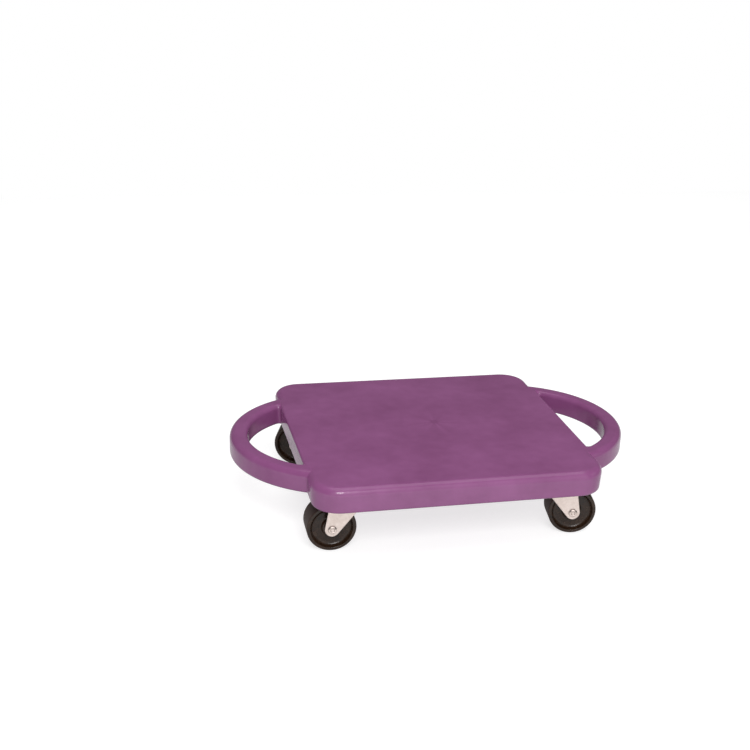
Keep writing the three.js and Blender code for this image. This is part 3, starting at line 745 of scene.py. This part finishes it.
def sleeve_skin():
    """The tube between the legs that the wheel turns on."""
    half = leg_inner - 0.15
    return on_axle(looped(turned([(3.35, -half), (4.35, -half), (4.55, -half + 0.2), (4.55, half - 0.2),
                                  (4.35, half), (3.35, half)], 40)))


(wheel, wheel_wear), sleeve = wheel_skin(), sleeve_skin()
axle, axle_painted_shade = axle_skins()
print("wheel:", len(wheel[0]), "points")

# %% [markdown]
# ## Plate, balls, kingpin and screws
#
# Between plate and crown run sixteen balls. A big rivet, the kingpin, holds the stack together: it is
# flush in the plate above and spread over a washer under the crown. Four screws hold the plate.

# %% Plate, kingpin, washer, balls and screws
washer_top, washer_thick, ball_count = crown_top - sheet - 0.3, 1.5, 16


def plate_skin():
    """A stamped plate: a rounded outline with a soft edge."""
    outline = rounded_outline(24, 32, 5, 10, 6)
    profile = [(0.6, plate_foot), (0.15, plate_foot + 0.15), (0, plate_foot + 0.6),
               (0, pad_foot - 0.6), (0.15, pad_foot - 0.15), (0.6, pad_foot)]
    return stacked(carried_round(outline, profile))


def ball_skins():
    """The balls on the pitch circle, each a small sphere from rings of latitude."""
    latitude = np.linspace(-np.pi / 2 + 0.12, np.pi / 2 - 0.12, 11)
    middle = (plate_foot + crown_top) / 2
    profile = np.stack([ball / 2 * np.cos(latitude), middle + ball / 2 * np.sin(latitude)], 1)
    one = stacked(turned(profile, 16) + np.array([pitch, 0, 0]))
    turns = [Matrix.Rotation(step * 2 * math.pi / ball_count, 4, "Z") for step in range(ball_count)]
    return [moved(one, turn) for turn in turns]


def kingpin_skin():
    """The kingpin's lower head is a low dome; its shank runs up through the washer and crown."""
    high = washer_top - washer_thick - 0.15
    low, flush = high - 2.2, pad_foot - 0.15
    profile = [(0.8, low), (3.0, low + 0.12), (4.9, low + 0.55), (6.1, low + 1.2), (6.5, low + 1.8),
               (6.4, high), (4.0, high), (4.0, 61.7), (5.85, flush), (0.5, flush)]
    return stacked(turned(profile, 48))


def washer_skin():
    """A flat ring with softened edges."""
    high, low = washer_top, washer_top - washer_thick
    profile = [(4.15, low), (9.2, low), (9.5, low + 0.3), (9.5, high - 0.3), (9.2, high), (4.15, high)]
    return looped(turned(profile, 48))


def screw_skin(x, y):
    """A round headed screw from below: the dome's height falls with the radius, and a cross is pressed
    into it where a point is near either of two lines, deepest in the middle."""
    radius = np.array([4.05, 4.2, 4.1, 3.7, 3.1, 2.5, 2.0, 1.5, 1.0, 0.6, 0.25])
    dome = np.array([0.0, 0.5, 1.1, 1.6, 1.9, 2.05, 2.12, 2.16, 2.19, 2.2, 2.2])
    rings = turned(np.stack([radius, dome], 1), 48)
    near = np.minimum(np.abs(rings[:, :, 0]), np.abs(rings[:, :, 1]))
    reach = np.hypot(rings[:, :, 0], rings[:, :, 1])
    recess = np.clip((0.62 - near) / 0.2, 0, 1) * np.clip((2.7 - reach) / 0.5, 0, 1)
    rings[:, :, 2] = plate_foot - rings[:, :, 2] + 1.1 * recess
    return moved(stacked(rings), Matrix.Translation((x, y, 0)))


def shank_skin(x, y):
    """The screw's threaded part, up inside the pad."""
    profile = [(2.1, plate_foot - 0.2), (2.1, plate_foot + 13), (0.3, plate_foot + 16)]
    return moved(stacked(turned(profile, 16)), Matrix.Translation((x, y, 0)))


balls = ball_skins()
board_steel = {"top_plate": [plate_skin(), race_cup(plate_foot, -1)], "kingpin": [kingpin_skin()],
               "thrust_washer": [washer_skin()]}
for number, place in enumerate([(-18, -26), (18, -26), (18, 26), (-18, 26)], 1):
    board_steel[f"screw_{number}"] = [screw_skin(*place), shank_skin(*place)]
print("balls:", len(balls), "steel pieces fixed to the board, each corner:", len(board_steel))

# %% [markdown]
# ## Four casters
#
# Every caster is the same, at its own corner. The plate, screws, washer and kingpin stay with the board.
# Fork, balls and wheel are turned to the bearing that the caster trails to, and ride on their own bodies,
# so they follow the joints.

# %% Place the casters
bearings = {"front_left": 178.6, "front_right": -9.2, "rear_left": 162.3, "rear_right": 35}
caster_steel = zinc_plate, "zinc_steel", "caster"
swung = {"fork": ([fork, race_cup(crown_top, 1)], *caster_steel),
         "axle_sleeve": ([sleeve], *caster_steel),
         "axle_rivet": (axle, *caster_steel),
         "wheel": ([wheel], wheel_rubber, "wheel_rubber", "roller"),
         "ball_ring": (balls, bearing_steel, "bearing_steel", "bearing")}
# The rivet's points carry painted shade, and the wheel's points carry the wear of its tread.
point_values = {"axle_rivet": ("painted_shade", axle_painted_shade), "wheel": ("wear", wheel_wear)}

for corner, (x, y) in swivels.items():
    stand = Matrix.Translation((x, y, 0))
    swing = stand @ Matrix.Rotation(math.radians(bearings[corner]), 4, "Z")
    for piece, skins in board_steel.items():
        make_piece(f"{corner}_{piece}_steel", [moved(skin, stand) for skin in skins], zinc_plate, "board",
                   [f"{corner}_{piece}"])
    for piece, (skins, finish, slot, body) in swung.items():
        dressed = make_piece(f"{corner}_{piece}_dressed", [moved(skin, swing) for skin in skins], finish,
                             f"{corner}_{body}", [f"{corner}_{piece}"])
        if piece in point_values:
            name, values = point_values[piece]
            dressed.data.attributes.new(name, "FLOAT", "POINT").data.foreach_set("value", values)
print("pieces made:", len(made))

# %% [markdown]
# ## Floor, light and camera
#
# The board stands on a white table that glows a little, as a light table does, so the shadow under it stays
# pale and its sides and the insides of the handles are lit from below. Camera rays see the table and the
# world behind it brighter still, so the page looks white without more light on the object. Reflections see
# a pool of light on the table in front of the board, which the steel and the lower edges mirror. From
# underneath, the table can be looked through, so that the ribs can be seen. A large white card behind the
# camera is what the sides and the rounded edges mirror. Three lamps: a wide one over the board, a smaller
# and stronger one in front, which draws the highlight on the deck's front corner, and a weak one from the
# right. Behind the board the room is dim, and that is what the flat top mirrors.

# %% Floor, world and card
room_light, shiny_room = 0.4, 0.14
floor_glow, floor_seen, pool_glow = 0.35, 0.38, 0.8
card_glow, card_seen = 0.3, 0.6


def studio_sheet(name, paint_name, corners):
    """A flat sheet of the studio with a paint of its own."""
    mesh = bpy.data.meshes.new(name)
    mesh.from_pydata(corners, [], [(0, 1, 2, 3)])
    sheet = bpy.data.objects.new(name, mesh)
    bpy.context.scene.collection.objects.link(sheet)
    paint, tree, shader = new_finish(paint_name)
    mesh.materials.append(paint)
    return sheet, tree, shader


def floor_piece(reach=6, rear=1.6):
    """One large sheet under the wheels. It ends behind the board while it still looks as white as the
    world. The camera sees it brighter than it is, so that it is white away from the board, and the board's
    shadow is pale. Reflections see a pool of light on it in front of the board. From underneath it can be
    looked through."""
    corners = [(-reach, -reach, 0), (reach, -reach, 0), (reach, rear, 0), (-reach, rear, 0)]
    floor, tree, shader = studio_sheet("studio_floor", "floor_paint", corners)
    cloud = effect(tree, cloudiness, Size=3.0, Fine_share=0.2)
    colour = blend_colours(tree, cloud, (0.43, 0.43, 0.43, 1), (0.45, 0.45, 0.45, 1))
    place = new_node(tree, "TexCoord").outputs["Object"]
    split = new_node(tree, "SeparateXYZ", {0: place}).outputs
    path = new_node(tree, "LightPath").outputs
    pool = path["Is Glossy Ray"]
    for axis, near, far in (("X", 0.2, 0.28), ("Y", -0.29, -0.1)):
        pool = calculated(tree, "MULTIPLY", pool, ranged(tree, split[axis], near, far, 1, 0))
    shine = calculated(tree, "MULTIPLY_ADD", pool, pool_glow, floor_glow)
    level = calculated(tree, "MULTIPLY_ADD", path["Is Camera Ray"], floor_seen, shine)
    fill(tree, shader, {"Base Color": colour, "Roughness": 0.9, "Emission Color": (1, 1, 1, 1),
                        "Emission Strength": level})
    under = new_node(tree, "NewGeometry").outputs["Backfacing"]
    clear = new_node(tree, "BsdfTransparent").outputs[0]
    sides = new_node(tree, "MixShader", {0: under, 1: shader.outputs[0], 2: clear})
    fill(tree, tree.nodes["Material Output"], {"Surface": sides.outputs[0]})


def white_world():
    """The camera sees white. Light comes from a soft grey, as from a room's ceiling, and reflections see
    a darker one, as of a dim room."""
    world = bpy.data.worlds.new("white_room")
    world.use_nodes = True
    tree = world.node_tree
    path = new_node(tree, "LightPath").outputs
    seen = calculated(tree, "MULTIPLY_ADD", path["Is Camera Ray"], 1.0 - room_light, room_light)
    level = calculated(tree, "MULTIPLY_ADD", path["Is Glossy Ray"], shiny_room - room_light, seen)
    fill(tree, tree.nodes["Background"], {"Color": (1, 1, 1, 1), "Strength": level})
    bpy.context.scene.world = world


def front_card(half=3, high=4.5, behind=-3.2):
    """An upright white card behind the camera that gives off light."""
    corners = [(-half, behind, 0), (half, behind, 0), (half, behind, high), (-half, behind, high)]
    card, tree, shader = studio_sheet("front_card", "card_paint", corners)
    path = new_node(tree, "LightPath").outputs
    either = calculated(tree, "ADD", path["Is Glossy Ray"], path["Is Camera Ray"])
    level = calculated(tree, "MULTIPLY_ADD", either, card_seen, card_glow)
    fill(tree, shader, {"Base Color": (0.5, 0.5, 0.5, 1), "Emission Color": (1, 1, 1, 1),
                        "Emission Strength": level})


floor_piece()
white_world()
front_card()
print("stage: floor, world and card")

# %% Lamps
def soft_lamp(name, place, size, power):
    """A square lamp of the given size in metres that faces the middle of the board."""
    lamp = bpy.data.lights.new(name, "AREA")
    lamp.size, lamp.energy = size, power
    holder = bpy.data.objects.new(name, lamp)
    holder.location = place
    aim = Vector((0, 0, 0.05)) - Vector(place)
    holder.rotation_euler = aim.to_track_quat("-Z", "Y").to_euler()
    bpy.context.scene.collection.objects.link(holder)


soft_lamp("overhead_lamp", (0.2, 0.0, 2.1), 1.8, 14)
soft_lamp("front_lamp", (-0.31, -1.96, 1.67), 0.9, 33)
soft_lamp("right_lamp", (1.8, -0.6, 0.9), 1.0, 1.5)
print("lamps:", [lamp.name for lamp in bpy.data.lights])

# %% [markdown]
# The camera stands where the photograph was taken from: 15.3 degrees to the left of the board's front,
# 23.6 degrees up, 1.37 m from the middle, rolled a little. Its lens and shift put the board at the same
# place in the frame.

# %% Camera
def photo_camera():
    """The camera's own axes: back points from the middle of the board to the camera, right and up follow
    from it and the roll. Together with the place they are its matrix."""
    azimuth, elevation, roll = np.radians([-15.276, 23.632, 2.577])
    distance, focal, centre, frame_size = 1.3685, 1230.086, (427.749, 459.641), 750
    flat = np.array([np.sin(azimuth), -np.cos(azimuth), 0]) * np.cos(elevation)
    back = flat + np.array([0, 0, np.sin(elevation)])
    level = np.cross([0, 0, 1], back)
    level /= np.linalg.norm(level)
    rise = np.cross(back, level)
    right = np.cos(roll) * level + np.sin(roll) * rise
    up = -np.sin(roll) * level + np.cos(roll) * rise
    place = back * distance + np.array([0, 0, 0.04])
    lens = bpy.data.cameras.new("photo_camera")
    lens.sensor_fit, lens.sensor_width = "HORIZONTAL", 36
    lens.lens = lens.sensor_width * focal / frame_size
    lens.shift_x = 0.5 - centre[0] / frame_size
    lens.shift_y = centre[1] / frame_size - 0.5
    camera = bpy.data.objects.new("photo_camera", lens)
    camera.matrix_world = Matrix([*np.stack([right, up, back, place], 1).tolist(), [0, 0, 0, 1]])
    bpy.context.scene.collection.objects.link(camera)
    bpy.context.scene.camera = camera
    print("camera at", [round(float(value), 3) for value in place], "m, lens", round(lens.lens, 2), "mm")


photo_camera()
bpy.context.scene.view_settings.view_transform = "Standard"
